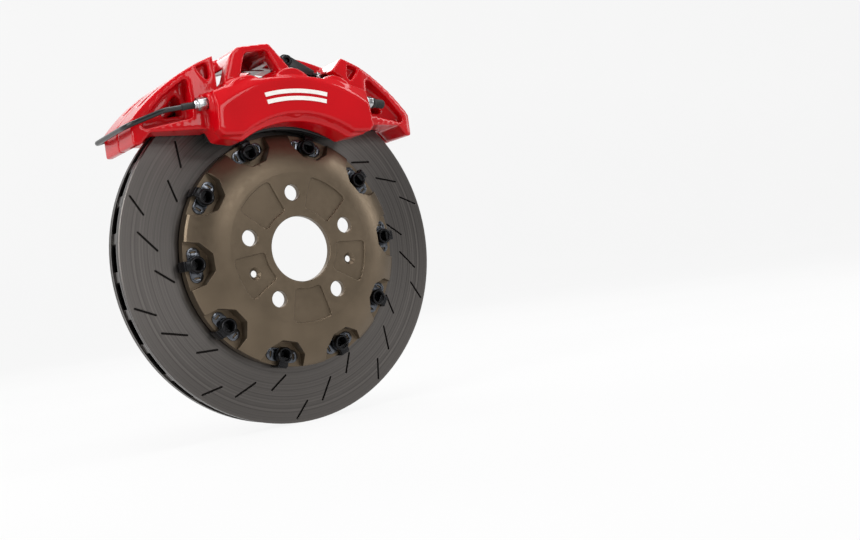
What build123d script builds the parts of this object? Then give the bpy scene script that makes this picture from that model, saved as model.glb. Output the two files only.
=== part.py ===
from build123d import *
from math import cos, radians, sin
import os

os.makedirs("parts", exist_ok=True)

# Frame: origin on the spin axis at the hub mounting face, +Y inboard, +Z up through the caliper.
MID = 36.0            # disc mid-plane behind the hub mounting face

# disc ring
RING_R = 172.5        # 345 mm disc
RING_IN_R = 111.0
RING_T = 28.0
CHEEK_T = 7.0
VENT = RING_T - 2 * CHEEK_T
VANES = 30
SLOT_W = 2.0
SLOT_DEPTH = 1.2

# bell
PLATE_T = 7.0
BORE_R = 32.5
LUG_PCD_R = 56.0
LUG_R = 8.0
LUG_PHASE = -2.2
FLANGE_R = 116.0
FLANGE_BACK = -15.6   # all "v" values are measured from the disc mid-plane, minus is outboard
FLOOR_V = -24.5

# bobbins
BOBBINS = 10
BOBBIN_PCR = 105.5
BOBBIN_PHASE = 15.7
BARREL_R = 5.95
LUG_HOLE_R = 6.02

# caliper
SHELL_R = 202.0       # outer surface of bridges and wings
RAIL_R = 201.4
CAVITY_R = 188.0      # underside of the bridges over the pads
SLOT_R = 176.0        # clearance over the disc edge
SLOT_V = 17.0
WALL_V = 35.0         # inboard face of the piston body
FACE_V = 74.0         # flat outer panel
WEB_V = 50.0          # bridge and wing side face
RAIL_V = 12.0
CAVITY_X = 78.0
PISTON_PCR = 150.0
PISTON_STEP = 18.0    # degrees between pistons
PISTON_R = 17.0
BORE_CLEAR = 0.05
BORE_END_V = 62.0
DOME_R = 24.0
PORT = (84.0, 57.0, 143.0)
PORT_DIR = (0.9886, 0.0, -0.1504)

# pads
FRICTION_FACE = 15.5
FRICTION_T = 12.0
BACKING_T = 5.5
PAD_X = 76.4
PAD_LOW = 111.0       # the plate's ends are cut off level here

# fasteners
BRIDGE_BOLTS = ((194.0, 22.5, 36.0), (186.0, 47.0, 26.0))   # radius, degrees, seat under the head
MOUNT_X = 90.0
MOUNT_V = 39.0
MOUNT_Z = 114.0


def at(v):
    # plane across the spin axis, v mm inboard of the disc mid-plane, facing outboard
    return Plane.XZ.offset(-(MID + v))


def polar(r, deg):
    # point at radius r, degrees clockwise from straight up seen from outboard
    return (r * sin(radians(deg)), r * cos(radians(deg)))


def turned(part):
    # the same casting turned half a turn about the vertical line through the disc mid-plane
    return Pos(0, MID, 0) * Rot(0, 0, 180) * Pos(0, -MID, 0) * part


def flipped(part):
    return mirror(part, about=Plane.XZ.offset(-MID))


def save(part, label):
    part.label = label
    export_step(part, "parts/" + label + ".step")


# ---------------------------------------------------------------- disc ring
with BuildSketch() as vane:
    with BuildLine():
        ThreePointArc(polar(114, -1.4), polar(146, 5.3), polar(171, 14.3))
        Line(polar(171, 14.3), polar(171, 17.5))
        ThreePointArc(polar(171, 17.5), polar(146, 7.7), polar(114, 1.2))
        Line(polar(114, 1.2), polar(114, -1.4))
    make_face()

with BuildPart() as rotor_ring:
    with BuildSketch(at(RING_T / 2)):
        Circle(RING_R)
        Circle(RING_IN_R, mode=Mode.SUBTRACT)
    extrude(amount=RING_T)
    chamfer(rotor_ring.edges().filter_by(GeomType.CIRCLE).sort_by(SortBy.RADIUS)[-2:], length=0.9)
    chamfer(rotor_ring.edges().filter_by(GeomType.CIRCLE).sort_by(SortBy.RADIUS)[:2], length=1.5)
    with BuildSketch(at(VENT / 2)):
        Circle(RING_R + 2)
        Circle(RING_IN_R - 2, mode=Mode.SUBTRACT)
    extrude(amount=VENT, mode=Mode.SUBTRACT)
    for cheek in (-1, 1):
        with BuildSketch(at(cheek * 10.4 + 0.5)):
            Circle(RING_R + 2)
            Circle(RING_R - 0.8, mode=Mode.SUBTRACT)
        extrude(amount=1.0, mode=Mode.SUBTRACT)
    with BuildSketch(at(VENT / 2)):
        with PolarLocations(0, VANES):
            add(vane.sketch)
    extrude(amount=VENT)
    with BuildSketch(at(-CHEEK_T)):
        with PolarLocations(0, BOBBINS, start_angle=90 - BOBBIN_PHASE):
            with Locations((BOBBIN_PCR, 0)):
                Circle(11.5)
            with Locations((BOBBIN_PCR + 7, 0)):
                Rectangle(14, 23)
    extrude(amount=CHEEK_T)
    with BuildSketch(at(0)):
        with PolarLocations(BOBBIN_PCR, BOBBINS, start_angle=90 - BOBBIN_PHASE):
            Circle(LUG_HOLE_R)
    extrude(amount=20, mode=Mode.SUBTRACT)
    for face_v, depth in ((-RING_T / 2, -SLOT_DEPTH), (RING_T / 2, SLOT_DEPTH)):
        with BuildSketch(at(face_v)):
            with PolarLocations(0, 10):
                for r_in, a_in, r_out, a_out in ((152, 0.5, 168, 5.2), (136, 23.8, 155, 30), (124.5, 10, 140, 16)):
                    a, b = Vector(*polar(r_in, a_in)), Vector(*polar(r_out, a_out))
                    SlotCenterPoint((a + b) / 2, b, SLOT_W)
        extrude(amount=depth, mode=Mode.SUBTRACT)
save(rotor_ring.part, "rotor_ring")

# ---------------------------------------------------------------- bell
with BuildSketch() as hub_pocket:
    with BuildLine():
        ThreePointArc(polar(40, -20), polar(40, 0), polar(40, 20))
        Line(polar(40, 20), polar(73, 17))
        ThreePointArc(polar(73, 17), polar(73, 0), polar(73, -17))
        Line(polar(73, -17), polar(40, -20))
    make_face()
    fillet(vertices(), radius=3.5)

with BuildPart() as bell:
    with BuildSketch(Plane.XY):
        with BuildLine():
            Polyline((114, 6), (FLANGE_R, 8), (FLANGE_R, MID + FLANGE_BACK), (95, MID + FLANGE_BACK),
                     (84, 3), (80, 0), (BORE_R, 0), (BORE_R, -PLATE_T), (76, -PLATE_T))
            ThreePointArc((76, -PLATE_T), (96, -3.2), (114, 6))
        make_face()
    revolve(axis=Axis.Y)
    with BuildSketch(at(FLOOR_V)):
        with PolarLocations(0, BOBBINS, start_angle=90 - BOBBIN_PHASE):
            Polygon((92, -8), (102, -20), (121, -25), (121, 25), (102, 20), (92, 8), align=None)
        fillet([v for v in vertices() if v.X ** 2 + v.Y ** 2 < 110 ** 2], radius=2.5)
    extrude(amount=25, mode=Mode.SUBTRACT)
    with BuildSketch(at(FLANGE_BACK + 2)):
        with PolarLocations(BOBBIN_PCR, BOBBINS, start_angle=90 - BOBBIN_PHASE):
            SlotOverall(14, 2 * BARREL_R + 0.1)
    extrude(amount=20, mode=Mode.SUBTRACT)
    with BuildSketch(Plane.XZ.offset(PLATE_T - 2)):
        with PolarLocations(0, 5, start_angle=-(LUG_PHASE + 36)):
            add(hub_pocket.sketch)
    extrude(amount=5, mode=Mode.SUBTRACT)
    with BuildSketch(Plane.XZ.offset(-2)):
        with PolarLocations(LUG_PCD_R, 5, start_angle=90 - LUG_PHASE):
            Circle(LUG_R)
        with Locations(polar(LUG_PCD_R, LUG_PHASE + 108), polar(LUG_PCD_R, LUG_PHASE + 252)):
            Circle(3.3)
    extrude(amount=PLATE_T + 5, mode=Mode.SUBTRACT)
    with BuildSketch(Plane.XZ.offset(PLATE_T - 2)):
        with Locations(polar(LUG_PCD_R, LUG_PHASE + 108), polar(LUG_PCD_R, LUG_PHASE + 252)):
            Circle(6.3)
    extrude(amount=-3, taper=45, mode=Mode.SUBTRACT)
    chamfer(bell.edges().filter_by(GeomType.CIRCLE).filter_by_position(Axis.Y, -PLATE_T - 0.1, -PLATE_T + 0.1), 0.7)
save(bell.part, "bell")

with BuildPart() as bobbins:
    with BuildSketch(at(-26)):
        with PolarLocations(BOBBIN_PCR, BOBBINS, start_angle=90 - BOBBIN_PHASE):
            Circle(8)
    extrude(amount=8.5)
    fillet(bobbins.faces().sort_by(Axis.Y)[:BOBBINS].edges(), radius=1.6)
    with BuildSketch(at(-6.4)):
        with PolarLocations(BOBBIN_PCR, BOBBINS, start_angle=90 - BOBBIN_PHASE):
            Circle(BARREL_R)
    extrude(amount=20)
    with BuildSketch(at(-27)):
        with PolarLocations(0, BOBBINS, start_angle=90 - BOBBIN_PHASE):
            with Locations((112, 0)):
                Rectangle(12.6, 10)
    extrude(amount=6)
    with BuildSketch(at(-15.4)):
        with PolarLocations(0, BOBBINS, start_angle=90 - BOBBIN_PHASE):
            with Locations((117.3, 0)):
                Rectangle(2, 10)
    extrude(amount=15)
save(bobbins.part, "drive_bobbins")

with BuildPart() as clips:
    with BuildSketch(at(FLOOR_V)):
        with PolarLocations(0, BOBBINS, start_angle=90 - BOBBIN_PHASE):
            with Locations((BOBBIN_PCR, 0)):
                SlotOverall(34, 13, rotation=90)
                Circle(BARREL_R + 0.05, mode=Mode.SUBTRACT)
            with Locations((BOBBIN_PCR, 12.5), (BOBBIN_PCR, -12.5)):
                SlotOverall(6, 1.8, rotation=0, mode=Mode.SUBTRACT)
    extrude(amount=1.5)
save(clips.part, "bobbin_clip_plates")

with BuildPart() as bobbin_nuts:
    with BuildSketch(at(-1.4)):
        with PolarLocations(BOBBIN_PCR, BOBBINS, start_angle=90 - BOBBIN_PHASE):
            RegularPolygon(8.5, 6)
    extrude(amount=5)
save(bobbin_nuts.part, "bobbin_nuts")

# ---------------------------------------------------------------- caliper half
with BuildPart() as shell:
    # two wings with their end bridges
    for side in (-1, 1):
        top = polar(SHELL_R, side * 20.5)
        end = polar(SHELL_R, side * 49.5)
        with BuildSketch(at(0)):
            with BuildLine():
                ThreePointArc(top, polar(SHELL_R, side * 38), end)
                Polyline(end, (side * 153.5, 109), (side * 147, 109), (side * 137, 120),
                         (side * 70, 120), (side * 70, 168), (side * (70 if side < 0 else 58), 176), top)
            make_face()
        extrude(amount=WEB_V)
    # spine rail over the disc
    with BuildSketch(at(0)):
        with BuildLine():
            ThreePointArc(polar(RAIL_R, -30), polar(RAIL_R, 0), polar(RAIL_R, 30))
            Line(polar(RAIL_R, 30), polar(CAVITY_R, 30))
            ThreePointArc(polar(CAVITY_R, 30), polar(CAVITY_R, 0), polar(CAVITY_R, -30))
            Line(polar(CAVITY_R, -30), polar(RAIL_R, -30))
        make_face()
    extrude(amount=RAIL_V)
    # off-centre arch
    with BuildSketch(at(0)):
        Polygon((-64, 158), (-51, 192), (-44, 198.1), (-10, 202.7), (9, 180), (16, 158), align=None)
        fillet(vertices().sort_by(Axis.Y)[-4:], radius=3.5)
    extrude(amount=WEB_V)
    with BuildSketch(at(1)):
        Polygon((-46, 165), (-37.5, 191), (-35, 193), (-15.5, 195.5), (-12.5, 194.5), (2.5, 165), align=None)
        fillet(vertices(), radius=2)
    extrude(amount=WEB_V + 5, mode=Mode.SUBTRACT)

with BuildPart() as body_block:
    with BuildSketch(at(-WALL_V)):
        with BuildLine():
            ThreePointArc((-83, 150), (0, 163), (83, 150))
            Polyline((83, 150), (84, 136), (84, 120), (78, 108), (58, 105))
            ThreePointArc((58, 105), (0, 122.5), (-58, 105))
            Polyline((-58, 105), (-78, 108), (-84, 120), (-84, 136), (-83, 150))
        make_face()
    extrude(amount=30)
    chamfer(body_block.faces().sort_by(Axis.Y)[0].edges(), length=2)

with BuildPart() as panel:
    with BuildSketch(at(-60)):
        with BuildLine():
            ThreePointArc((-84, 152), (0, 165), (84, 152))
            Polyline((84, 152), (83, 137), (85, 115), (80, 109.5), (60, 109.5))
            ThreePointArc((60, 109.5), (0, 128.5), (-60, 109.5))
            Polyline((-60, 109.5), (-80, 109.5), (-85, 115), (-83, 137), (-84, 152))
        make_face()
    extrude(amount=FACE_V - 60)
    chamfer(panel.faces().sort_by(Axis.Y)[0].edges(), length=1.2)
    with BuildSketch(Plane.YZ):
        Polygon((MID - FACE_V - 4, 152), (MID - FACE_V - 4, 200), (MID - FACE_V + 17, 200),
                (MID - FACE_V, 162), align=None)
    revolve(axis=Axis((0, 0, 21.5), (0, 1, 0)), mode=Mode.SUBTRACT)

with BuildPart() as domes:
    with BuildSketch(at(-WALL_V)):
        with PolarLocations(PISTON_PCR, 3, start_angle=90 - PISTON_STEP, angular_range=3 * PISTON_STEP):
            Circle(DOME_R)
    extrude(amount=70 - WALL_V)
    fillet(domes.faces().sort_by(Axis.Y)[0].edges(), radius=1.5)
    with BuildSketch(at(-WALL_V)):
        with PolarLocations(PISTON_PCR, 3, start_angle=90 - PISTON_STEP, angular_range=3 * PISTON_STEP):
            Circle(DOME_R + 3)
    extrude(amount=8)

with BuildPart() as half:
    add(shell.part)
    add(body_block.part)
    add(panel.part)
    add(domes.part)
    # boss around each fluid port
    for side in (-1, 1):
        port = Plane(origin=(side * PORT[0], MID - PORT[1], PORT[2]), x_dir=(0, 1, 0),
                     z_dir=(side * PORT_DIR[0], 0, PORT_DIR[2]))
        with BuildSketch(port.offset(-6)):
            Circle(8.5)
        extrude(amount=9)
    # pad cavity, and the slot the disc runs in
    with BuildSketch(at(0)):
        Circle(CAVITY_R)
        Rectangle(2 * CAVITY_X, 2 * CAVITY_R, mode=Mode.INTERSECT)
    extrude(amount=WALL_V, mode=Mode.SUBTRACT)
    with BuildSketch(at(0)):
        Circle(SLOT_R)
    extrude(amount=SLOT_V, mode=Mode.SUBTRACT)
    for side in (-1, 1):
        # wing narrows towards its tip
        with BuildSketch(Plane.XY.offset(80)):
            Polygon((side * 92, MID - WEB_V), (side * 200, MID - 31), (side * 200, MID - 90),
                    (side * 92, MID - 90), align=None)
        extrude(amount=140, mode=Mode.SUBTRACT)
        # pocket between the spars, open triangle in its web
        with BuildSketch(at(-33)):
            Polygon((side * 98, 170), (side * 97, 131), (side * 144, 122.5), (side * 143, 131),
                    (side * 124, 151), align=None)
            fillet(vertices(), radius=3)
        extrude(amount=30, mode=Mode.SUBTRACT)
        with BuildSketch(at(-SLOT_V + 2)):
            Polygon((side * 103, 159), (side * 101, 136), (side * 126, 134), align=None)
            fillet(vertices(), radius=3)
        extrude(amount=30, mode=Mode.SUBTRACT)
        # pocket sunk in the outer surface of the wing
        tip = Plane(origin=(side * SHELL_R * sin(radians(39)), MID - 20, SHELL_R * cos(radians(39))),
                    x_dir=(0, 1, 0), z_dir=(side * sin(radians(39)), 0, cos(radians(39))))
        with BuildSketch(tip.offset(-12)):
            RectangleRounded(13, 26, 3)
        extrude(amount=25, mode=Mode.SUBTRACT)
        # blind recess in the end bridge
        with BuildSketch(at(-WEB_V + 8)):
            Polygon((side * 90, 178), (side * 77, 183), (side * 76, 170), (side * 79, 165), align=None)
            fillet(vertices(), radius=2)
        extrude(amount=20, mode=Mode.SUBTRACT)
        # fluid port
        port = Plane(origin=(side * PORT[0], MID - PORT[1], PORT[2]), x_dir=(0, 1, 0),
                     z_dir=(side * PORT_DIR[0], 0, PORT_DIR[2]))
        with BuildSketch(port.offset(5)):
            Circle(5.05)
        extrude(amount=-14, mode=Mode.SUBTRACT)
        for r, deg, seat in BRIDGE_BOLTS:
            with BuildSketch(at(1)):
                with Locations(polar(r, side * deg)):
                    Circle(4.05)
            extrude(amount=27, mode=Mode.SUBTRACT)
    # piston bores with boot and seal grooves
    for radius, start, depth in ((PISTON_R + BORE_CLEAR, 0, BORE_END_V - WALL_V), (19.5, 0, 3), (20.0, 7, 3)):
        with BuildSketch(at(-WALL_V - start)):
            with PolarLocations(PISTON_PCR, 3, start_angle=90 - PISTON_STEP, angular_range=3 * PISTON_STEP):
                Circle(radius)
        extrude(amount=depth, mode=Mode.SUBTRACT)

rod = Plane(origin=(46, MID - 22.5, 180.8), x_dir=(0, 1, 0), z_dir=(0.925, 0, -0.38))
with BuildPart() as outboard_half:
    add(half.part)
    # thread for the retainer bolt, and the hole that takes the end of its rod
    with BuildSketch(at(-7)):
        with Locations((19.5, 191.3)):
            Circle(3.55)
    extrude(amount=RAIL_V - 6, mode=Mode.SUBTRACT)
    with BuildSketch(rod.offset(28)):
        Circle(2.45)
    extrude(amount=12, mode=Mode.SUBTRACT)
save(outboard_half.part, "outboard_half")

with BuildPart() as inboard_half:
    add(turned(half.part))
    for side in (-1, 1):
        # radial mounting bosses, drilled from the outer surface down to the mounting face
        with BuildSketch(Plane.XY.offset(MOUNT_Z)):
            with Locations((side * MOUNT_X, MID + MOUNT_V)):
                Circle(11)
        extrude(amount=12)
        with BuildSketch(Plane.XY.offset(MOUNT_Z - 2)):
            with Locations((side * MOUNT_X, MID + MOUNT_V)):
                Circle(6.25)
        extrude(amount=100, mode=Mode.SUBTRACT)
        with BuildSketch(Plane.XY.offset(150)):
            with Locations((side * MOUNT_X, MID + MOUNT_V)):
                Circle(9)
        extrude(amount=60, mode=Mode.SUBTRACT)
        for r, deg, seat in BRIDGE_BOLTS:
            with BuildSketch(at(-1)):
                with Locations(polar(r, side * deg)):
                    Circle(4.05)
            extrude(amount=-60, mode=Mode.SUBTRACT)
            with BuildSketch(at(seat)):
                with Locations(polar(r, side * deg)):
                    Circle(6.5)
            extrude(amount=-40, mode=Mode.SUBTRACT)
    # brake hose inlet
    with BuildSketch(at(FACE_V + 1)):
        with Locations((23, 127)):
            Circle(4.5)
    extrude(amount=15, mode=Mode.SUBTRACT)
save(inboard_half.part, "inboard_half")

with BuildPart() as bridge_bolts:
    for side in (-1, 1):
        for r, deg, seat in BRIDGE_BOLTS:
            with BuildSketch(at(seat)):
                with Locations(polar(r, side * deg)):
                    Circle(4)
            extrude(amount=seat + 24)
            with BuildSketch(at(seat + 8)):
                with Locations(polar(r, side * deg)):
                    Circle(6.2)
                    RegularPolygon(3.4, 6, mode=Mode.SUBTRACT)
            extrude(amount=8)
save(bridge_bolts.part, "bridge_bolts")

# ---------------------------------------------------------------- pistons and seals
def round_set(name, radius, hole, v_in, depth):
    with BuildPart() as rings:
        with BuildSketch(at(-v_in)):
            with PolarLocations(PISTON_PCR, 3, start_angle=90 - PISTON_STEP, angular_range=3 * PISTON_STEP):
                Circle(radius)
                Circle(hole, mode=Mode.SUBTRACT)
        extrude(amount=depth)
    save(rings.part, name + "_outboard")
    save(flipped(rings.part), name + "_inboard")


round_set("piston_seals", 20.0, PISTON_R + BORE_CLEAR, WALL_V + 7, 3)
round_set("dust_boots", 19.5, PISTON_R + BORE_CLEAR, WALL_V, 3)

for number, deg in enumerate((-PISTON_STEP, 0, PISTON_STEP), start=1):
    with BuildPart() as piston:
        with BuildSketch(at(-(FRICTION_FACE + FRICTION_T + BACKING_T + 0.3))):
            with Locations(polar(PISTON_PCR, deg)):
                Circle(PISTON_R)
        extrude(amount=25)
        with BuildSketch(at(-(FRICTION_FACE + FRICTION_T + BACKING_T + 0.3))):
            with Locations(polar(PISTON_PCR, deg)):
                Circle(12)
        extrude(amount=19, mode=Mode.SUBTRACT)
        chamfer(piston.edges().filter_by(GeomType.CIRCLE), length=0.6)
    save(piston.part, "piston_outboard_" + str(number))
    save(flipped(piston.part), "piston_inboard_" + str(number))

# ---------------------------------------------------------------- pads
with BuildPart() as friction:
    with BuildSketch(at(-FRICTION_FACE)):
        Circle(170)
        Circle(122, mode=Mode.SUBTRACT)
        with Locations((0, PAD_LOW + 51.5)):
            Rectangle(2 * (PAD_X - 2.5), 100, mode=Mode.INTERSECT)
        fillet(vertices(), radius=4)
    extrude(amount=FRICTION_T)
    with BuildSketch(at(-FRICTION_FACE)):
        with Locations((0, 147)):
            Rectangle(3, 60)
    extrude(amount=FRICTION_T - 2, mode=Mode.SUBTRACT)
with BuildPart() as backing:
    with BuildSketch(at(-FRICTION_FACE - FRICTION_T)):
        Circle(173.5)
        Circle(120.5, mode=Mode.SUBTRACT)
        with Locations((0, PAD_LOW + 50)):
            Rectangle(2 * PAD_X, 100, mode=Mode.INTERSECT)
        fillet(vertices(), radius=3)
    extrude(amount=BACKING_T)
    chamfer(backing.faces().sort_by(Axis.Y)[0].edges(), length=0.5)
for name, part in (("pad_friction", friction.part), ("pad_backing", backing.part)):
    save(part, name + "_outboard")
    save(flipped(part), name + "_inboard")

with BuildPart() as wear_plates:
    for side in (-1, 1):
        for v in (-18, WALL_V - 1):
            with BuildSketch(at(v)):
                with Locations((side * (CAVITY_X - 0.45), 142)):
                    Rectangle(0.9, 36)
            extrude(amount=WALL_V - 19)
save(wear_plates.part, "abutment_plates")

# ---------------------------------------------------------------- pad retainer
with BuildPart() as retainer_bar:
    with BuildSketch(at(-19)):
        with BuildLine():
            Polyline((14, 191), (20, 185), (48, 176.5), (52, 181.5), (26, 196), (14, 191))
        make_face()
        with Locations((19.5, 191.3)):
            Circle(7)
    extrude(amount=7)
    with BuildSketch(at(-18)):
        with Locations((19.5, 191.3)):
            Circle(3.6)
    extrude(amount=12, mode=Mode.SUBTRACT)
    with BuildSketch(rod):
        Circle(2.4)
    extrude(amount=39.5)
save(retainer_bar.part, "retainer_bar")

with BuildPart() as retainer_collar:
    with BuildSketch(rod.offset(9)):
        Circle(4.4)
        Circle(2.4, mode=Mode.SUBTRACT)
    extrude(amount=5)
save(retainer_collar.part, "retainer_collar")

with BuildPart() as retainer_bolt:
    with BuildSketch(at(-26)):
        with Locations((19.5, 191.3)):
            Circle(5.6)
            RegularPolygon(2.9, 6, mode=Mode.SUBTRACT)
    extrude(amount=4.5)
    with BuildSketch(at(-8)):
        with Locations((19.5, 191.3)):
            Circle(3.5)
    extrude(amount=18.5)
save(retainer_bolt.part, "retainer_bolt")

# ---------------------------------------------------------------- fluid fittings
def port_plane(side, flip):
    return Plane(origin=(side * PORT[0], MID - flip * PORT[1], PORT[2]), x_dir=(0, 1, 0),
                 z_dir=(side * PORT_DIR[0], 0, PORT_DIR[2]))


with BuildPart() as tube_nuts:
    for flip in (1, -1):
        port = port_plane(-1, flip)
        with BuildSketch(port.offset(-8)):
            Circle(5)
            Circle(2.45, mode=Mode.SUBTRACT)
        extrude(amount=11.5)
        with BuildSketch(port.offset(3.5)):
            RegularPolygon(6.6, 6)
            Circle(2.45, mode=Mode.SUBTRACT)
        extrude(amount=9)
        with BuildSketch(port.offset(12.5)):
            Circle(4.2)
            Circle(2.45, mode=Mode.SUBTRACT)
        extrude(amount=3)
save(tube_nuts.part, "tube_nuts")

start = port_plane(-1, 1).offset(-7)
with BuildPart() as pipe:
    with BuildLine():
        a = Vector(start.origin)
        b = a + Vector(start.z_dir) * 52
        c = Vector(-160.5, MID - 44, 125)
        FilletPolyline(a, b, c, Vector(-160.5, MID + 44, 125), Vector(b.X, 2 * MID - b.Y, b.Z),
                       Vector(a.X, 2 * MID - a.Y, a.Z), radius=14)
    with BuildSketch(start):
        Circle(2.4)
    sweep()
save(pipe.part, "crossover_pipe")

for side_name, flip in (("outboard", 1), ("inboard", -1)):
    port = port_plane(1, flip)
    with BuildPart() as bleeder:
        with BuildSketch(port.offset(-8)):
            Circle(5)
        extrude(amount=11.5)
        with BuildSketch(port.offset(3.5)):
            RegularPolygon(6.6, 6)
        extrude(amount=8)
        with BuildSketch(port.offset(11.5)):
            Circle(3.4)
        extrude(amount=11)
        with BuildSketch(port.offset(22.5)):
            Circle(3.4)
        extrude(amount=1.5, taper=25)
    save(bleeder.part, "bleed_screw_" + side_name)
    with BuildPart() as cap:
        with BuildSketch(port.offset(12.3)):
            Circle(5.4)
        extrude(amount=3)
        with BuildSketch(port.offset(15.3)):
            Circle(4.7)
        extrude(amount=11)
        fillet(cap.edges().filter_by(GeomType.CIRCLE).group_by(Axis((0, 0, 0), tuple(port.z_dir)))[-1], radius=1.5)
        with BuildSketch(port.offset(12)):
            Circle(3.45)
        extrude(amount=10.6, mode=Mode.SUBTRACT)
        with BuildSketch(port.offset(22.5)):
            Circle(3.45)
        extrude(amount=1.6, mode=Mode.SUBTRACT)
    save(cap.part, "bleed_cap_" + side_name)

# raised stripes on the outer panel
with BuildPart() as stripes:
    with BuildSketch(at(-FACE_V)):
        for r in (141, 148):
            with BuildLine():
                ThreePointArc(polar(r, -13), polar(r, 0), polar(r, 13))
                Line(polar(r, 13), polar(r + 4, 13))
                ThreePointArc(polar(r + 4, 13), polar(r + 4, 0), polar(r + 4, -13))
                Line(polar(r + 4, -13), polar(r, -13))
            make_face()
    extrude(amount=0.4)
save(stripes.part, "panel_stripes")
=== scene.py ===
import bmesh
import bpy
from math import cos, pi, radians
from mathutils import Matrix, Vector


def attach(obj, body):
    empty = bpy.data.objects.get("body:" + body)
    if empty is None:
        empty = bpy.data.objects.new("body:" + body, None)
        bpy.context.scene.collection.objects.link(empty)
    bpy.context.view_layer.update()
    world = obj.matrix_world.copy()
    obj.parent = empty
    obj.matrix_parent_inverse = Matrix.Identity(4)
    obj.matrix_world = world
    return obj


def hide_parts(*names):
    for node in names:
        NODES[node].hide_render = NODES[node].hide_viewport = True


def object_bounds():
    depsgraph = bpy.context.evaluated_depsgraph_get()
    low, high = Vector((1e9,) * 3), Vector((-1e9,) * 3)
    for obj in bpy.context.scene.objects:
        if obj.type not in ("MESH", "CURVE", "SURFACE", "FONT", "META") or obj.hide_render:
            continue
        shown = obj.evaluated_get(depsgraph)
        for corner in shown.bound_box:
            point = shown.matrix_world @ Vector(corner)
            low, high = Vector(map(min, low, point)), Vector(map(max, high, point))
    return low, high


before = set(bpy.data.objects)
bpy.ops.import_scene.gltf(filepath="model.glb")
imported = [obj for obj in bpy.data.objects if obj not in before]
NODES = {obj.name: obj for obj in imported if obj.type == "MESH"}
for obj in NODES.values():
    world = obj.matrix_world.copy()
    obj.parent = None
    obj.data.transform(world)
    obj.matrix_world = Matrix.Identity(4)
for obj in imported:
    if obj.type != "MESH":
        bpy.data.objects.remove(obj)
cad_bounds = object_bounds()

# ------------------------------------------------------------------ sizes
MM = 0.001
MID = 36 * MM                           # disc mid-plane on the spin axis, from the hub face
TURNING_FEED = 0.9 * MM                 # drawn pitch of the disc's turning rings; really 0.2 mm
GROOVE_EDGE = (13.2 * MM, 13.7 * MM)    # off the mid-plane: below it the slots and vents, painted near black as shade; turned faces above
RIM_EDGE = (170.2 * MM, 170.8 * MM)     # from the axle: vents inside it, turned rim outside
SHADED_EDGE_SAMPLES = 6                 # rays for each edge that is eased in the shader
EASED_ABOVE = 28                        # degrees between faces from which a modelled edge is eased
SMOOTH_BELOW = 35                       # degrees between faces up to which shading runs on
TURNED_STEPS = 40                       # facets round a turned solid
JOIN_WITHIN = 0.01 * MM                 # vertices of a carried-over solid this close are one
FLAT_WITHIN = 0.5                       # degrees; its faces this close to flat become one
CAST_GRID = 1.25 * MM                   # voxel of the castings' skin
CAST_BLEND, CAST_PASSES = 0.5, 5        # smoothing that turns its corners into radii
HEX_EASE = 0.7                          # mm off the corners of nuts and screw heads
HEX_ACROSS = 11.2                       # mm across the flats of tube nuts and bleed screws

BOBBINS = 10
BOBBIN_PCR = 105.5                      # mm, radius of the circle that they stand on
BOBBIN_PHASE = 15.7                     # degrees about the spin axis from +Z to the first one

PORT_X, PORT_V, PORT_Z = 84 * MM, 57 * MM, 143 * MM     # fluid ports; V is off the mid-plane
PORT_AXIS = Vector((0.9886, 0, -0.1504))                # way out of the ports on the +X side
THREAD_LOW = -8                         # mm, end of the threads inside the ports
CAP_RIBS, RIB_PITCH = 4, 2              # ribs round a bleed cap, and mm from one to the next

FLOOR_FRONT, FLOOR_HALF_WIDTH = -7, 9   # metres
COVE_Y, COVE_R, COVE_STEPS = 3.0, 1.4, 24
WALL_RISE = 5
PAPER_LIGHT = 0.93                      # glow of the sweep, and of the backdrop as it is seen
ROOM_LIGHT = 0.2                        # glow of the backdrop as it lights the object

LENS_MM, SENSOR_MM, CLIP_START = 41.86, 36, 0.05
CAMERA_PLACE = (-0.4797, -0.8779, -0.0422)
CAMERA_RIGHT = (0.80271, -0.58076, -0.13554)
CAMERA_UP = (0.10747, -0.08270, 0.99077)
CAMERA_BACK = (-0.58661, -0.80986, -0.00397)


# ------------------------------------------------------------------ colour and material helpers
def hex_linear(code):
    """sRGB hex to linear colour, opaque."""
    parts = [int(code[i:i + 2], 16) / 255 for i in (0, 2, 4)]
    return [c / 12.92 if c <= 0.04045 else ((c + 0.055) / 1.055) ** 2.4 for c in parts] + [1.0]


def add_node(mat, kind, links=(), **settings):
    """One node with its properties and input values; links are (input, source socket)."""
    node = mat.node_tree.nodes.new("ShaderNode" + kind)
    for key, value in settings.items():
        if hasattr(node, key):
            setattr(node, key, value)
        else:
            node.inputs[key.replace("_", " ")].default_value = value
    for name, source in links:
        mat.node_tree.links.new(source, node.inputs[name])
    return node


def new_material(name, **sockets):
    """A material whose Principled shader has these socket values."""
    mat = bpy.data.materials.new(name)
    mat.use_nodes = True
    shader = mat.node_tree.nodes["Principled BSDF"]
    for key, value in sockets.items():
        shader.inputs[key.replace("_", " ")].default_value = value
    coords = add_node(mat, "TexCoord").outputs["Object"]
    return mat, shader, coords


def plug(mat, source, shader, name):
    """Connects a source socket to the shader's input of this name."""
    mat.node_tree.links.new(source, shader.inputs[name])


def noise(mat, coords, size_mm, detail=3.0):
    """Noise whose blobs are size_mm across."""
    return add_node(mat, "TexNoise", [("Vector", coords)], Scale=1 / (size_mm * MM), Detail=detail,
                    Roughness=0.55).outputs["Fac"]


def spread(mat, source, low, high, start=0.3, end=0.7):
    """A value that runs from low to high as source runs from start to end."""
    return add_node(mat, "MapRange", [("Value", source)], From_Min=start, From_Max=end,
                    To_Min=low, To_Max=high).outputs["Result"]


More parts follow.
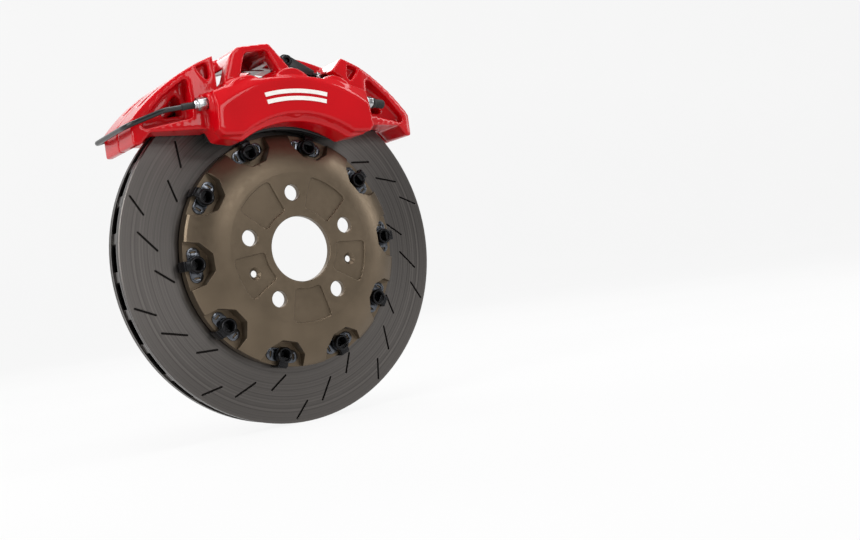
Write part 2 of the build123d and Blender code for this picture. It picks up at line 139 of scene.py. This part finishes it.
def two_tone(mat, source, first, second, start=0.35, end=0.65):
    """A colour that runs from first to second as source runs from start to end."""
    ramp = add_node(mat, "ValToRGB", [("Fac", source)])
    stops = ramp.color_ramp.elements
    stops[0].position, stops[0].color = start, hex_linear(first)
    stops[1].position, stops[1].color = end, hex_linear(second)
    return ramp.outputs["Color"]


def bumped(mat, shader, height, depth_mm, edge_mm=0.0, target="Normal"):
    """Bump of a real depth, over edges eased by edge_mm."""
    links = [("Height", height)]
    if edge_mm:
        soft_edge = add_node(mat, "Bevel", samples=SHADED_EDGE_SAMPLES, Radius=edge_mm * MM)
        links.append(("Normal", soft_edge.outputs["Normal"]))
    bump = add_node(mat, "Bump", links, Strength=1.0, Distance=depth_mm * MM)
    plug(mat, bump.outputs["Normal"], shader, target)


def dress(mat, *names):
    """Gives the material to carried-over nodes."""
    for name in names:
        obj = NODES[name]
        obj.data.materials.clear()
        obj.data.materials.append(mat)


# ------------------------------------------------------------------ materials
# Two-pack polyurethane on sand-cast aluminium: deep red, wet gloss, faint orange peel.
caliper_red, shader, coords = new_material(
    "sprayed_red_polyurethane", Roughness=0.4, Coat_Weight=0.7, Coat_Roughness=0.03,
    Coat_IOR=1.42, Specular_IOR_Level=0.08)
patches = noise(caliper_red, coords, 60, 2)
plug(caliper_red, two_tone(caliper_red, patches, "B8000D", "C4000F"), shader, "Base Color")
bumped(caliper_red, shader, noise(caliper_red, coords, 1.6, 2), 0.03, edge_mm=1.6)
bumped(caliper_red, shader, noise(caliper_red, coords, 2.2, 1), 0.015, edge_mm=1.6,
       target="Coat Normal")

# Grey cast iron, its faces finish-turned: rings about the axle.
disc_iron, shader, coords = new_material("turned_grey_iron", Metallic=1.0, Anisotropic=0.7)
# At scale 1 the wave texture draws a ring every 2 pi / 20 units.
rings = add_node(disc_iron, "TexWave", [("Vector", coords)], wave_type="RINGS",
                 rings_direction="Y", Scale=2 * pi / (20 * TURNING_FEED),
                 Distortion=0.0).outputs["Fac"]
round_axle = add_node(disc_iron, "Tangent", direction_type="RADIAL", axis="Y").outputs["Tangent"]
plug(disc_iron, round_axle, shader, "Tangent")
from_axle = add_node(disc_iron, "Mapping", [("Vector", coords)], Scale=(1, 0, 1)).outputs["Vector"]
radius = add_node(disc_iron, "VectorMath", [("Vector", from_axle)],
                  operation="LENGTH").outputs["Value"]
streaks = add_node(disc_iron, "TexNoise", [("W", radius)], noise_dimensions="1D",
                   Scale=1 / (2.2 * MM), Detail=4.0, Roughness=0.7).outputs["Fac"]
turned_face = two_tone(disc_iron, streaks, "4F4C4A", "676360", 0.3, 0.7)
# Below the turned faces, in the slots and the vents, the colour is painted near black: the vents
# are raw cast iron, and the near-black is painted shade in the vents and in the machined slots
# alike.
off_middle = add_node(disc_iron, "Mapping", [("Vector", coords)], Location=(0, -MID, 0),
                      Scale=(0, 1, 0)).outputs["Vector"]
depth = add_node(disc_iron, "VectorMath", [("Vector", off_middle)],
                 operation="LENGTH").outputs["Value"]
on_face = spread(disc_iron, depth, 0, 1, *GROOVE_EDGE)
on_rim = spread(disc_iron, radius, 0, 1, *RIM_EDGE)
# painted shade: near-black colour in the slots and the vents, over the raw cast iron of the vents
raw_vents_and_painted_shade = add_node(disc_iron, "MixRGB", [("Fac", on_face), ("Color2", turned_face)],
                   Color1=hex_linear("1D1B1A")).outputs["Color"]
rimmed = add_node(disc_iron, "MixRGB", [("Fac", on_rim), ("Color1", raw_vents_and_painted_shade),
                                        ("Color2", turned_face)]).outputs["Color"]
plug(disc_iron, rimmed, shader, "Base Color")
plug(disc_iron, spread(disc_iron, streaks, 0.30, 0.44), shader, "Roughness")
bumped(disc_iron, shader, rings, 0.014, edge_mm=0.5)

# 7075 bell, bead-blasted and hard anodised: warm bronze, satin, even.
bell_bronze, shader, coords = new_material("blasted_bronze_anodised_7075", Metallic=0.85)
patches = noise(bell_bronze, coords, 40, 3)
plug(bell_bronze, two_tone(bell_bronze, patches, "625647", "6C5F4F"), shader, "Base Color")
plug(bell_bronze, spread(bell_bronze, noise(bell_bronze, coords, 5, 3), 0.36, 0.44),
     shader, "Roughness")
bumped(bell_bronze, shader, noise(bell_bronze, coords, 0.6, 2), 0.012, edge_mm=0.8)

# Rolled stainless sheet, pressed: fine grain along the sheet.
stainless, shader, coords = new_material("pressed_stainless_sheet", Metallic=1.0)
stretch = add_node(stainless, "Mapping", [("Vector", coords)], Scale=(1, 1, 12)).outputs["Vector"]
grain = noise(stainless, stretch, 1.5, 3)
plug(stainless, two_tone(stainless, grain, "9A9A98", "BEBEBC"), shader, "Base Color")
plug(stainless, spread(stainless, grain, 0.22, 0.34), shader, "Roughness")
bumped(stainless, shader, grain, 0.01, edge_mm=0.4)

# Steel, black oxide over a machined surface: near black with a soft metallic glint.
black_oxide, shader, coords = new_material("black_oxide_steel", Metallic=0.7)
patches = noise(black_oxide, coords, 4, 3)
plug(black_oxide, two_tone(black_oxide, patches, "141416", "1E1E20"), shader, "Base Color")
plug(black_oxide, spread(black_oxide, noise(black_oxide, coords, 1.5, 3), 0.24, 0.36),
     shader, "Roughness")
bumped(black_oxide, shader, noise(black_oxide, coords, 0.8, 2), 0.01, edge_mm=0.5)

# Steel under black powder coat: satin with a fine pebble.
black_powder, shader, coords = new_material("black_powder_coat", Roughness=0.38)
patches = noise(black_powder, coords, 6, 2)
plug(black_powder, two_tone(black_powder, patches, "0E0E0F", "161617"), shader, "Base Color")
bumped(black_powder, shader, noise(black_powder, coords, 0.9, 2), 0.03, edge_mm=0.6)

# Bright zinc on turned and milled steel: cool silver, light machining marks.
zinc, shader, coords = new_material("bright_zinc_plate", Metallic=1.0)
patches = noise(zinc, coords, 3, 2)
plug(zinc, two_tone(zinc, patches, "B0B2B4", "C2C4C6"), shader, "Base Color")
plug(zinc, spread(zinc, noise(zinc, coords, 2.5, 2), 0.22, 0.3), shader, "Roughness")
bumped(zinc, shader, noise(zinc, coords, 1.5, 1), 0.005, edge_mm=0.35)

# Steel tube in extruded black polyamide: smooth, semi-gloss.
tube_black, shader, coords = new_material("black_polyamide_tube", Roughness=0.28)
patches = noise(tube_black, coords, 8, 2)
plug(tube_black, two_tone(tube_black, patches, "0F1112", "17191A"), shader, "Base Color")
bumped(tube_black, shader, noise(tube_black, coords, 3, 2), 0.02)

# Moulded EPDM caps, sleeves, seals and boots: dull, faintly dusty.
epdm, shader, coords = new_material("moulded_epdm", Roughness=0.62)
plug(epdm, two_tone(epdm, noise(epdm, coords, 3, 4), "0D0D0E", "1A1A1A"), shader, "Base Color")
bumped(epdm, shader, noise(epdm, coords, 0.7, 3), 0.02, edge_mm=0.4)

# Pressed semi-metallic friction block: dark grey with bright metal flecks and pits.
friction, shader, coords = new_material("semi_metallic_friction", Roughness=0.85)
flecks = add_node(friction, "TexVoronoi", [("Vector", coords)],
                  Scale=1 / (0.9 * MM)).outputs["Distance"]
plug(friction, two_tone(friction, flecks, "8C8276", "2A2826", 0.04, 0.18), shader, "Base Color")
bumped(friction, shader, noise(friction, coords, 0.8, 4), 0.12)

# Hard-anodised aluminium piston, ground: dull grey.
piston_grey, shader, coords = new_material("ground_anodised_piston", Metallic=0.9, Roughness=0.35)
patches = noise(piston_grey, coords, 2, 3)
plug(piston_grey, two_tone(piston_grey, patches, "6E6E70", "828284"), shader, "Base Color")
bumped(piston_grey, shader, noise(piston_grey, coords, 0.5, 2), 0.006, edge_mm=0.4)

# White enamel, screen-printed under the lacquer.
white_print, shader, coords = new_material("screen_printed_white", Roughness=0.3, Coat_Weight=1.0,
                                           Coat_Roughness=0.05)
patches = noise(white_print, coords, 10, 2)
plug(white_print, two_tone(white_print, patches, "EFEBE4", "F6F3EE"), shader, "Base Color")

# Spring steel under black chrome: dark mirror with a faint rolled grain.
black_chrome, shader, coords = new_material("black_chromed_spring_steel", Metallic=1.0)
patches = noise(black_chrome, coords, 5, 3)
plug(black_chrome, two_tone(black_chrome, patches, "4A4D52", "62656B"), shader, "Base Color")
plug(black_chrome, spread(black_chrome, noise(black_chrome, coords, 1.2, 3), 0.16, 0.26),
     shader, "Roughness")
bumped(black_chrome, shader, noise(black_chrome, coords, 0.6, 2), 0.008, edge_mm=0.4)

dress(disc_iron, "rotor_ring")
dress(bell_bronze, "bell")
dress(tube_black, "crossover_pipe")
dress(epdm, "piston_seals_outboard", "piston_seals_inboard",
      "dust_boots_outboard", "dust_boots_inboard")
dress(white_print, "panel_stripes")


# ------------------------------------------------------------------ modelling helpers
def joined_copy(node):
    """A carried-over solid as one closed mesh, its flat faces whole."""
    mesh = bmesh.new()
    mesh.from_mesh(NODES[node].data)
    bmesh.ops.remove_doubles(mesh, verts=mesh.verts, dist=JOIN_WITHIN)
    bmesh.ops.dissolve_limit(mesh, angle_limit=radians(FLAT_WITHIN), verts=mesh.verts,
                             edges=mesh.edges)
    return mesh


def eased(mesh, width_mm, segments=2):
    """Bevels every edge sharper than EASED_ABOVE."""
    edges = [e for e in mesh.edges
             if len(e.link_faces) == 2 and e.calc_face_angle() > radians(EASED_ABOVE)]
    bmesh.ops.bevel(mesh, geom=edges, offset=width_mm * MM, offset_type="OFFSET",
                    segments=segments, profile=0.5, affect="EDGES", clamp_overlap=True,
                    material=-1)
    return mesh


def piece(name, mesh, mat, body, replaced=(), sharp=SMOOTH_BELOW):
    """Links the mesh as an object that rides the body, in place of these nodes."""
    data = bpy.data.meshes.new(name)
    mesh.to_mesh(data)
    mesh.free()
    data.shade_smooth()
    data.set_sharp_from_angle(angle=radians(sharp))
    data.materials.append(mat)
    obj = bpy.data.objects.new(name, data)
    bpy.context.collection.objects.link(obj)
    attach(obj, body)
    if replaced:
        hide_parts(*replaced)
    return obj


def refined(node, width_mm, mat, body, segments=2):
    """The node's own shape with real eased edges."""
    mesh = eased(joined_copy(node), width_mm, segments)
    return piece(node + "_finished", mesh, mat, body, (node,))


def turned_solid(profile_mm, ring=False):
    """A solid turned about +Z from (radius, height) points; a ring closes on itself."""
    mesh = bmesh.new()
    verts = [mesh.verts.new((r * MM, 0, z * MM)) for r, z in profile_mm]
    edges = [mesh.edges.new(pair) for pair in zip(verts, verts[1:])]
    if ring:
        edges.append(mesh.edges.new((verts[-1], verts[0])))
    bmesh.ops.spin(mesh, geom=verts + edges, cent=(0, 0, 0), axis=(0, 0, 1), angle=2 * pi,
                   steps=TURNED_STEPS, use_merge=True)
    bmesh.ops.remove_doubles(mesh, verts=mesh.verts, dist=0.001 * MM)
    bmesh.ops.recalc_face_normals(mesh, faces=mesh.faces)
    return mesh


def block(size_mm, place_mm, ease_mm):
    """A cuboid with rounded edges, its middle at place_mm."""
    mesh = bmesh.new()
    bmesh.ops.create_cube(mesh, size=1)
    bmesh.ops.scale(mesh, vec=[v * MM for v in size_mm], verts=mesh.verts)
    bmesh.ops.translate(mesh, vec=[v * MM for v in place_mm], verts=mesh.verts)
    return eased(mesh, ease_mm, 3)


def hexagon(across_mm, low_mm, high_mm):
    """A hexagonal prism along Z with eased corners."""
    mesh = bmesh.new()
    corner = across_mm / 2 / cos(pi / 6) * MM
    bmesh.ops.create_cone(mesh, cap_ends=True, segments=6, radius1=corner, radius2=corner,
                          depth=(high_mm - low_mm) * MM)
    bmesh.ops.translate(mesh, vec=(0, 0, (high_mm + low_mm) / 2 * MM), verts=mesh.verts)
    return eased(mesh, HEX_EASE, 3)


def gather(target, part, *places):
    """Adds part to target once at each place (a matrix), and frees it."""
    data = bpy.data.meshes.new("scrap")
    part.to_mesh(data)
    part.free()
    for place in places:
        first = len(target.verts)
        target.from_mesh(data)
        target.verts.ensure_lookup_table()
        bmesh.ops.transform(target, matrix=place, verts=target.verts[first:])
    bpy.data.meshes.remove(data)


def facing(origin, direction):
    """A place at origin (m) whose +Z points along direction."""
    turn = Vector(direction).to_track_quat("Z", "Y").to_matrix().to_4x4()
    return Matrix.Translation(origin) @ turn


# ------------------------------------------------------------------ caliper castings
def casting(node):
    """The caliper half with the soft radii of a sand casting, blended over every corner."""
    obj = piece(node + "_casting", joined_copy(node), caliper_red, "caliper",
                (node,), sharp=180)
    skin = obj.modifiers.new("skin", "REMESH")
    skin.mode, skin.voxel_size, skin.use_smooth_shade = "VOXEL", CAST_GRID, True
    blend = obj.modifiers.new("radii", "SMOOTH")
    blend.factor, blend.iterations = CAST_BLEND, CAST_PASSES


casting("outboard_half")
casting("inboard_half")


# ------------------------------------------------------------------ bobbins, one per lug
def round_the_bell():
    """Places on the bobbin circle in the mid-plane, +Z outboard and +X away from the axle."""
    for k in range(BOBBINS):
        turn = Matrix.Rotation(radians(BOBBIN_PHASE + 360 / BOBBINS * k), 4, "Y")
        upright = Matrix(((0, -1, 0, 0), (0, 0, -1, MID), (1, 0, 0, BOBBIN_PCR * MM), (0, 0, 0, 1)))
        yield turn @ upright


bobbins = bmesh.new()
# Thread, shank and round head, then the blind hole down its middle.
head = turned_solid([(0, 0.4), (3.6, 0.4), (4, 0.8), (4, 6.4), (5.9, 6.5), (5.9, 26), (7.6, 26),
                     (8, 26.6), (8, 32.5), (7.7, 33.7), (6.9, 34.4), (6.1, 34.4), (5.5, 33.8),
                     (5.0, 32), (4.4, 31), (4.2, 24), (3.4, 23.2), (0, 23.2)])
leg = block((9, 9.6, 5.4), (112.2 - BOBBIN_PCR, 0, 29.9), 0.9)
toe = block((1.7, 9.6, 14.6), (117.25 - BOBBIN_PCR, 0, 23), 0.5)
for part in (head, leg, toe):
    gather(bobbins, part, *round_the_bell())
piece("drive_bobbins_finished", bobbins, black_oxide, "bell", ("drive_bobbins",))

nuts = bmesh.new()
gather(nuts, hexagon(14.6, 1.4, 6.3), *round_the_bell())
piece("bobbin_nuts_finished", nuts, zinc, "bell", ("bobbin_nuts",))
refined("bobbin_clip_plates", 0.45, black_chrome, "bell")

# ------------------------------------------------------------------ pads, pistons, wear plates
for side in ("outboard", "inboard"):
    body = side + "_pad"
    refined("pad_friction_" + side, 0.8, friction, body)
    refined("pad_backing_" + side, 0.5, black_powder, body)
    for k in (1, 2, 3):
        name = "piston_%s_%d" % (side, k)
        refined(name, 0.35, piston_grey, name)
refined("abutment_plates", 0.25, stainless, "caliper", 1)

# ------------------------------------------------------------------ pad retainer, bridge bolts
refined("retainer_bar", 1.1, black_powder, "caliper", 3)
refined("retainer_collar", 0.5, zinc, "caliper")
refined("retainer_bolt", 0.5, black_oxide, "caliper")
refined("bridge_bolts", 0.5, zinc, "caliper")


# ------------------------------------------------------------------ pipe unions, bleed screws
def port(side, flip):
    """The mouth of a fluid port, +Z out of the caliper; flip is 1 outboard and -1 inboard."""
    return facing((side * PORT_X, MID - flip * PORT_V, PORT_Z),
                  (side * PORT_AXIS.x, 0, PORT_AXIS.z))


unions = bmesh.new()
nut_places = [port(-1, 1), port(-1, -1)]
nut_thread = [(2.5, THREAD_LOW), (4.9, THREAD_LOW), (4.9, 3.7), (2.5, 3.7)]
nut_collar = [(2.5, 12), (4.6, 12), (4.6, 12.6), (4.1, 13), (4.1, 14.8), (3.5, 15.4), (2.5, 15.4)]
gather(unions, hexagon(HEX_ACROSS, 3.5, 12.4), *nut_places)
gather(unions, turned_solid(nut_thread, ring=True), *nut_places)
gather(unions, turned_solid(nut_collar, ring=True), *nut_places)
piece("tube_nuts_finished", unions, zinc, "caliper", ("tube_nuts",))

sleeves = bmesh.new()
sleeve = [(2.3, 15.2), (2.9, 15.2), (3.15, 15.6), (3.15, 27.4), (2.9, 28), (2.3, 28)]
gather(sleeves, turned_solid(sleeve, ring=True), *nut_places)
piece("pipe_sleeves", sleeves, epdm, "caliper")

screw_thread = [(0, THREAD_LOW), (4.4, THREAD_LOW), (4.9, -7.4), (4.9, 3.6), (0, 3.6)]
nipple = [(0, 11), (3.3, 11), (3.3, 22.6), (2.6, 23.9), (0, 23.9)]
cap_skirt = [(3.5, 12.1), (5.1, 12.1), (5.35, 12.4), (5.35, 14.7), (5.0, 15.2), (4.65, 15.4)]
cap_ribs = [(r, z + RIB_PITCH * k) for k in range(CAP_RIBS)
            for r, z in ((4.65, 16), (4.4, 16.5), (4.4, 17), (4.65, 17.5))]
cap_top = [(4.65, 24.6), (4.2, 25.7), (3.2, 26.2), (0, 26.2), (0, 24.1), (3.5, 24.1)]
for side, flip in (("outboard", 1), ("inboard", -1)):
    body, place = "bleed_" + side, port(1, flip)
    screw = bmesh.new()
    gather(screw, turned_solid(screw_thread), place)
    gather(screw, hexagon(HEX_ACROSS, 3.5, 11.4), place)
    gather(screw, turned_solid(nipple), place)
    piece("bleed_screw_%s_finished" % side, screw, zinc, body,
          ("bleed_screw_" + side,))
    cap = bmesh.new()
    gather(cap, turned_solid(cap_skirt + cap_ribs + cap_top, ring=True), place)
    piece("bleed_cap_%s_finished" % side, cap, epdm, body, ("bleed_cap_" + side,))


# ------------------------------------------------------------------ floor, light and camera
def of_kind(geometry, kind):
    """The verts or the edges in what a bmesh operator returns."""
    return [g for g in geometry if isinstance(g, kind)]


def lit_floor():
    """A pale sweep: floor, quarter-round cove and wall."""
    mesh = bmesh.new()
    low = cad_bounds[0][2]
    ends = [mesh.verts.new((x, FLOOR_FRONT, low)) for x in (-FLOOR_HALF_WIDTH, FLOOR_HALF_WIDTH)]
    front = mesh.edges.new(ends)
    floor = bmesh.ops.extrude_edge_only(mesh, edges=[front])["geom"]
    bmesh.ops.translate(mesh, verts=of_kind(floor, bmesh.types.BMVert),
                        vec=(0, COVE_Y - FLOOR_FRONT, 0))
    back = [e for e in of_kind(floor, bmesh.types.BMEdge)
            if all(abs(v.co.y - COVE_Y) < MM for v in e.verts)]
    cove = bmesh.ops.spin(mesh, geom=back + [v for e in back for v in e.verts],
                          cent=(0, COVE_Y, low + COVE_R), axis=(1, 0, 0), angle=pi / 2,
                          steps=COVE_STEPS)["geom_last"]
    wall = bmesh.ops.extrude_edge_only(mesh, edges=of_kind(cove, bmesh.types.BMEdge))["geom"]
    bmesh.ops.translate(mesh, verts=of_kind(wall, bmesh.types.BMVert), vec=(0, 0, WALL_RISE))
    bmesh.ops.recalc_face_normals(mesh, faces=mesh.faces)
    data = bpy.data.meshes.new("studio_floor")
    mesh.to_mesh(data)
    mesh.free()
    data.shade_smooth()
    obj = bpy.data.objects.new("studio_floor", data)
    bpy.context.collection.objects.link(obj)
    paper, shader, coords = new_material(
        "white_paper_sweep", Roughness=0.95, Specular_IOR_Level=0.0,
        Emission_Color=hex_linear("FAFAFA"), Emission_Strength=PAPER_LIGHT)
    patches = noise(paper, coords, 400, 2)
    plug(paper, two_tone(paper, patches, "484848", "4B4B4B"), shader, "Base Color")
    data.materials.append(paper)


def softbox(name, place, size, watts):
    """A rectangular lamp at place (m), size wide and high (m), aimed at the disc's middle."""
    lamp = bpy.data.lights.new(name, "AREA")
    lamp.shape = "RECTANGLE"
    lamp.size, lamp.size_y = size
    lamp.energy = watts
    obj = bpy.data.objects.new(name, lamp)
    obj.location = place
    aim = Vector((0, MID, 0)) - Vector(place)
    obj.rotation_euler = aim.to_track_quat("-Z", "Y").to_euler()
    bpy.context.collection.objects.link(obj)


lit_floor()
softbox("overhead", (0.1, -0.3, 2.0), (1.6, 1.2), 34)
softbox("left_strip", (-1.9, -0.5, 0.9), (0.5, 1.8), 26)
softbox("right_strip", (1.8, -0.9, 0.8), (0.4, 1.6), 14)
softbox("front_fill", (0.5, -2.4, 0.9), (1.0, 0.8), 12)
softbox("back_rim", (0.4, 1.7, 1.4), (1.8, 0.5), 14)

world = bpy.data.worlds.new("studio")
bpy.context.scene.world = world
world.use_nodes = True
backdrop = world.node_tree.nodes["Background"]
backdrop.inputs["Color"].default_value = hex_linear("F8F9FA")
# The room is dim, so the paint keeps its depth; past the sweep's edge the camera sees a
# backdrop as pale as the sweep.
seen = add_node(world, "LightPath").outputs["Is Camera Ray"]
strength = spread(world, seen, ROOM_LIGHT, PAPER_LIGHT, 0, 1)
world.node_tree.links.new(strength, backdrop.inputs["Strength"])
bpy.context.scene.view_settings.view_transform = "Standard"

camera = bpy.data.cameras.new("camera")
camera.lens, camera.sensor_width = LENS_MM, SENSOR_MM
camera.clip_start = CLIP_START
camera_obj = bpy.data.objects.new("camera", camera)
camera_turn = Matrix((CAMERA_RIGHT, CAMERA_UP, CAMERA_BACK)).transposed().to_4x4()
camera_obj.matrix_world = Matrix.Translation(CAMERA_PLACE) @ camera_turn
bpy.context.collection.objects.link(camera_obj)
bpy.context.scene.camera = camera_obj
